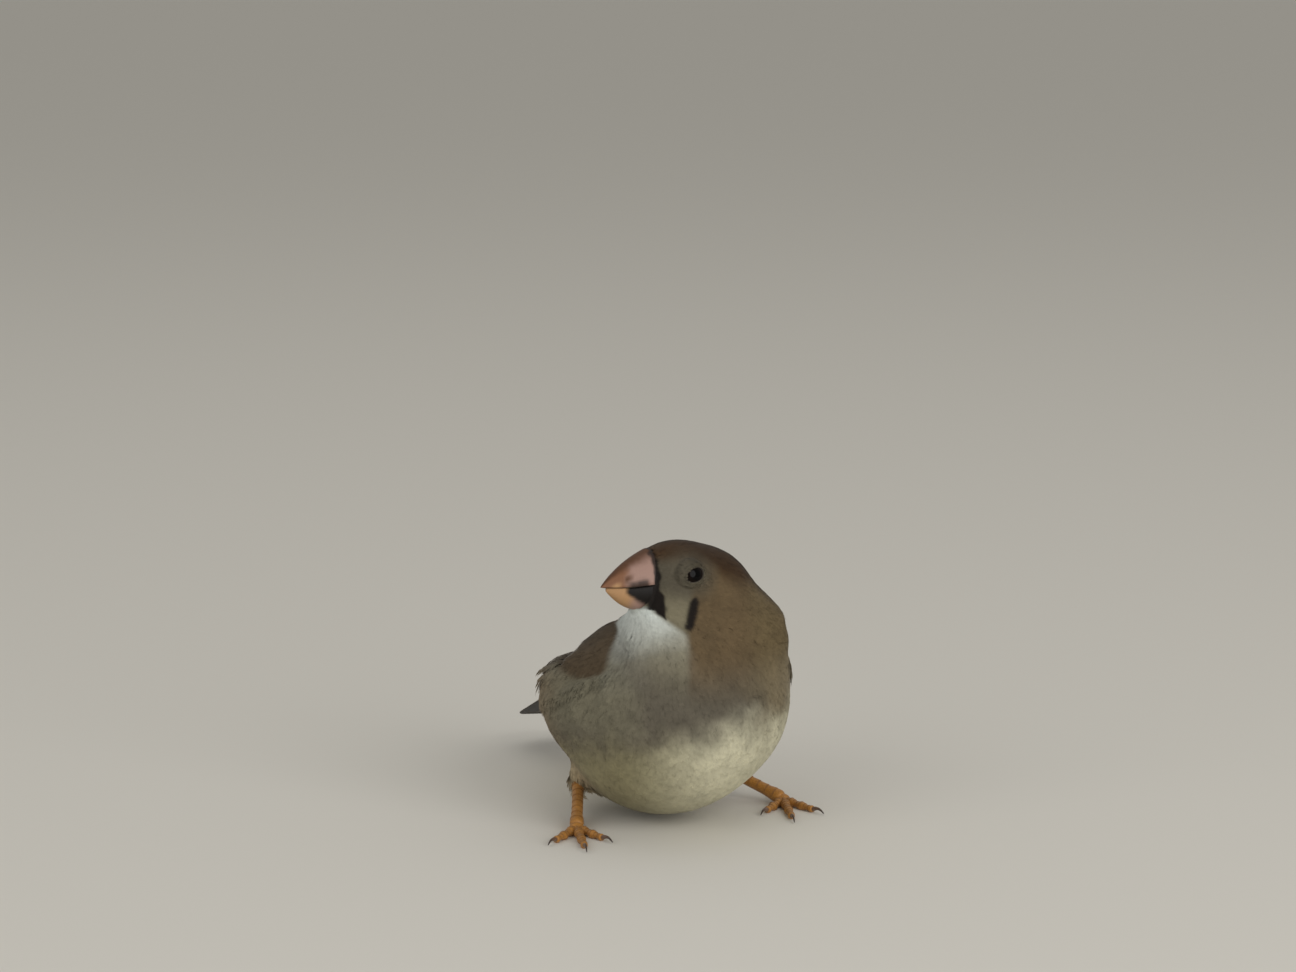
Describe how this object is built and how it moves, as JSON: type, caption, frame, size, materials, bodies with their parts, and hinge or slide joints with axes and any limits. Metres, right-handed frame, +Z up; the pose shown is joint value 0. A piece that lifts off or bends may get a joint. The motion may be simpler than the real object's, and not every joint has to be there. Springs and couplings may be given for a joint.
{
  "type": "zebra finch",
  "caption": "Life-size still model of a young female zebra finch, standing low and fluffed with legs astride and looking over its right shoulder.",
  "frame": {"origin": "on the floor, below the centre of the model's box", "axes": "+Z up; the body faces -Y, so the tail points along +Y and the bird's left side is at +X"},
  "size_m": [0.0468, 0.0768, 0.0441],
  "materials": {
    "plumage": "soft grey-brown body feathers, paler on throat and belly",
    "flight_feathers": "smooth brown wing feathers with paler edges",
    "tail_feathers": "brown-black tail feathers, coverts barred white",
    "bill": "horn, black giving way to orange, faintly glossy",
    "eye": "wet dark brown, almost black",
    "leg_skin": "scaled orange-brown skin",
    "claw": "brown horn"
  },
  "bodies": {
    "root": {"head": "plumage", "neck": "plumage", "trunk": "plumage", "shank_left": "plumage", "shank_right": "plumage", "wing_left": "flight_feathers", "wing_right": "flight_feathers", "tail": "tail_feathers", "bill_upper": "bill", "bill_lower": "bill", "eye_left": "eye", "eye_right": "eye", "tarsus_left": "leg_skin", "tarsus_right": "leg_skin", "foot_left": "leg_skin", "foot_right": "leg_skin", "claw_left_1": "claw", "claw_left_2": "claw", "claw_left_3": "claw", "claw_left_4": "claw", "claw_right_1": "claw", "claw_right_2": "claw", "claw_right_3": "claw", "claw_right_4": "claw"}
  },
  "joints": []
}
